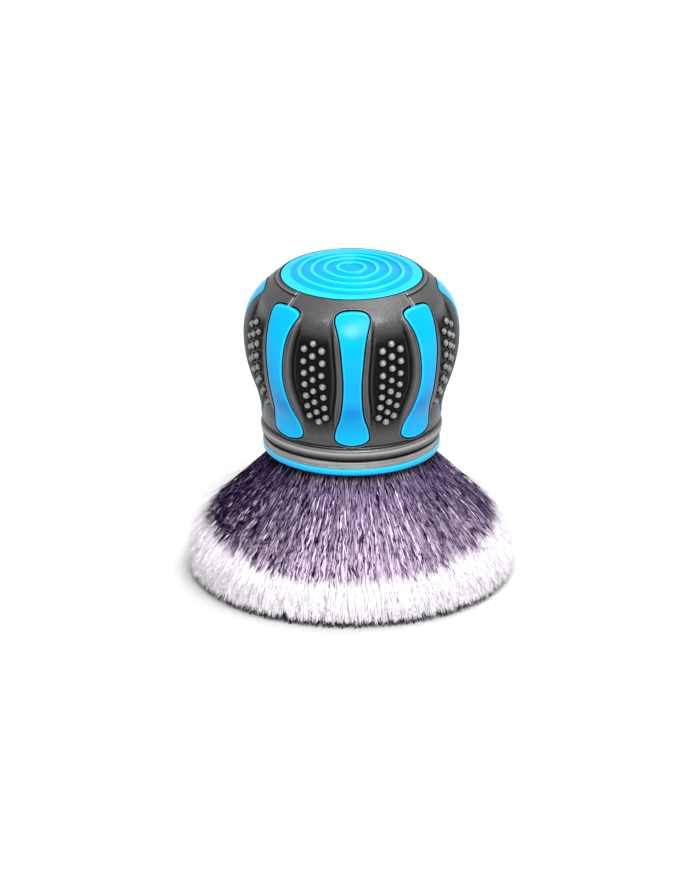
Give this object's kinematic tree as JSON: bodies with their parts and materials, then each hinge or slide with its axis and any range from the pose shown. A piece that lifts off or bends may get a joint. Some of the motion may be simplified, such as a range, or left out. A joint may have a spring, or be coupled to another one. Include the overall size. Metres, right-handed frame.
{
  "type": "fade brush",
  "caption": "Palm-held barber's fade brush: a domed knob with soft grip panels, hard inlays and raised nubs, over a flared bundle of fine fibres for brushing off clippings.",
  "frame": {"origin": "on the brush's axis, in the plane of the fibre tips that the brush stands on", "axes": "+Z along the brush's axis, up through the knob; -Y towards the inlay numbered 1, which is the front; +X to the right"},
  "size_m": [0.0932, 0.0932, 0.0937],
  "materials": {
    "blue_plastic": "satin",
    "grip_rubber": "matte",
    "nub_rubber": "satin",
    "band_plastic": "satin",
    "resin": "matte",
    "fibre": "matte"
  },
  "bodies": {
    "root": {"top_cap": "blue_plastic", "grip_sleeve": "grip_rubber", "grip_pad_1": "blue_plastic", "grip_pad_2": "blue_plastic", "grip_pad_3": "blue_plastic", "grip_pad_4": "blue_plastic", "grip_pad_5": "blue_plastic", "grip_pad_6": "blue_plastic", "grip_pad_7": "blue_plastic", "grip_pad_8": "blue_plastic", "nub_strip_1": "nub_rubber", "nub_strip_2": "nub_rubber", "nub_strip_3": "nub_rubber", "nub_strip_4": "nub_rubber", "nub_strip_5": "nub_rubber", "nub_strip_6": "nub_rubber", "nub_strip_7": "nub_rubber", "nub_strip_8": "nub_rubber", "collar_ring": "grip_rubber", "lower_band": "band_plastic", "rim_ring": "blue_plastic", "core_shell": "blue_plastic", "ferrule_cup": "band_plastic", "root_plug": "resin", "bristle_bundle": "fibre"}
  },
  "joints": []
}
